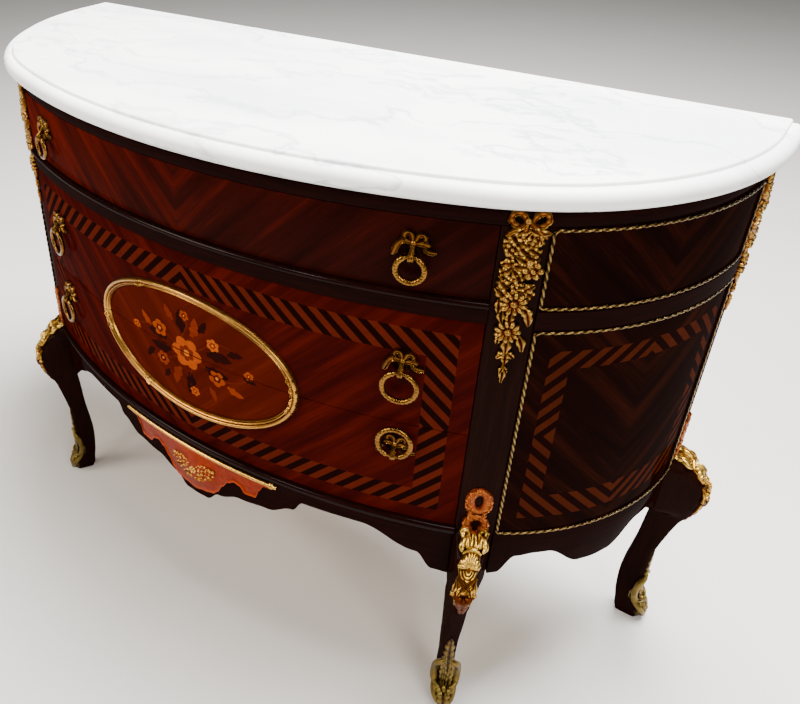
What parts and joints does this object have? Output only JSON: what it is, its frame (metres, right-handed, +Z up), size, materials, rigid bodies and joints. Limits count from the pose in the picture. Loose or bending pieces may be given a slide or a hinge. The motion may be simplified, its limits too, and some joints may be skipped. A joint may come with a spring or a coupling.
{
  "type": "commode chest of drawers",
  "caption": "Bow-fronted marble-topped commode chest with sliding drawers, ring pulls, gilt mounts and marquetry on cabriole legs.",
  "frame": {"origin": "on the floor under the middle of the bounding box", "axes": "+X to the right seen from the front, +Y to the back, +Z up"},
  "size_m": [1.3242, 0.4686, 0.88],
  "materials": {
    "marble": "polished white marble with faint grey veins",
    "ebonised_wood": "ebonised and french polished",
    "marquetry_veneer": "polished kingwood and rosewood veneer with ladder inlay",
    "pale_deal": "plain planed softwood",
    "gilt_brass": "cast, chased and gilt, worn to copper in places"
  },
  "bodies": {
    "carcass": {"marble_top": "marble", "top_board": "ebonised_wood", "middle_rail": "ebonised_wood", "upper_divider": "pale_deal", "lower_divider": "pale_deal", "bottom_board": "pale_deal", "back_panel": "pale_deal", "end_panel_right": "marquetry_veneer", "end_panel_left": "marquetry_veneer", "front_apron": "ebonised_wood", "end_apron_right": "ebonised_wood", "end_apron_left": "ebonised_wood", "bottom_bead": "ebonised_wood", "front_leg_right": "ebonised_wood", "front_leg_left": "ebonised_wood", "rear_leg_right": "ebonised_wood", "rear_leg_left": "ebonised_wood", "front_knee_mount_right": "gilt_brass", "front_knee_mount_left": "gilt_brass", "rear_knee_mount_right": "gilt_brass", "rear_knee_mount_left": "gilt_brass", "front_sabot_right": "gilt_brass", "front_sabot_left": "gilt_brass", "rear_sabot_right": "gilt_brass", "rear_sabot_left": "gilt_brass", "upper_rope_right": "gilt_brass", "upper_rope_left": "gilt_brass", "lower_rope_right": "gilt_brass", "lower_rope_left": "gilt_brass", "apron_mount": "gilt_brass", "front_corner_drop_right": "gilt_brass", "front_corner_drop_left": "gilt_brass", "rear_corner_drop_right": "gilt_brass", "rear_corner_drop_left": "gilt_brass"},
    "upper_drawer": {"upper_drawer_front": "marquetry_veneer", "upper_drawer_box": "pale_deal", "upper_drawer_bottom": "pale_deal", "upper_bow_left": "gilt_brass", "upper_bow_right": "gilt_brass"},
    "middle_drawer": {"middle_drawer_front": "marquetry_veneer", "middle_drawer_box": "pale_deal", "middle_drawer_bottom": "pale_deal", "middle_bow_left": "gilt_brass", "middle_bow_right": "gilt_brass", "middle_oval_frame": "gilt_brass"},
    "lower_drawer": {"lower_drawer_front": "marquetry_veneer", "lower_drawer_box": "pale_deal", "lower_drawer_bottom": "pale_deal", "lower_bow_left": "gilt_brass", "lower_bow_right": "gilt_brass", "lower_oval_frame": "gilt_brass"},
    "upper_ring_left": {"upper_ring_left": "gilt_brass"},
    "upper_ring_right": {"upper_ring_right": "gilt_brass"},
    "middle_ring_left": {"middle_ring_left": "gilt_brass"},
    "middle_ring_right": {"middle_ring_right": "gilt_brass"},
    "lower_ring_left": {"lower_ring_left": "gilt_brass"},
    "lower_ring_right": {"lower_ring_right": "gilt_brass"}
  },
  "joints": [
    {"name": "upper_drawer_slide", "type": "slide", "parent": "carcass", "child": "upper_drawer", "axis": [0, -1, 0], "range_m": [0, 0.28]},
    {"name": "middle_drawer_slide", "type": "slide", "parent": "carcass", "child": "middle_drawer", "axis": [0, -1, 0], "range_m": [0, 0.28]},
    {"name": "lower_drawer_slide", "type": "slide", "parent": "carcass", "child": "lower_drawer", "axis": [0, -1, 0], "range_m": [0, 0.28]},
    {"name": "upper_ring_left_swing", "type": "hinge", "parent": "upper_drawer", "child": "upper_ring_left", "pos_m": [-0.32206, -0.17423, 0.78], "axis": [-0.9509, 0.3094, 0], "range_deg": [0, 180]},
    {"name": "upper_ring_right_swing", "type": "hinge", "parent": "upper_drawer", "child": "upper_ring_right", "pos_m": [0.32206, -0.17423, 0.78], "axis": [-0.9509, -0.3094, 0], "range_deg": [0, 180]},
    {"name": "middle_ring_left_swing", "type": "hinge", "parent": "middle_drawer", "child": "middle_ring_left", "pos_m": [-0.32206, -0.17423, 0.618], "axis": [-0.9509, 0.3094, 0], "range_deg": [0, 180]},
    {"name": "middle_ring_right_swing", "type": "hinge", "parent": "middle_drawer", "child": "middle_ring_right", "pos_m": [0.32206, -0.17423, 0.618], "axis": [-0.9509, -0.3094, 0], "range_deg": [0, 180]},
    {"name": "lower_ring_left_swing", "type": "hinge", "parent": "lower_drawer", "child": "lower_ring_left", "pos_m": [-0.32206, -0.17423, 0.484], "axis": [-0.9509, 0.3094, 0], "range_deg": [0, 180]},
    {"name": "lower_ring_right_swing", "type": "hinge", "parent": "lower_drawer", "child": "lower_ring_right", "pos_m": [0.32206, -0.17423, 0.484], "axis": [-0.9509, -0.3094, 0], "range_deg": [-184, 0]}
  ]
}
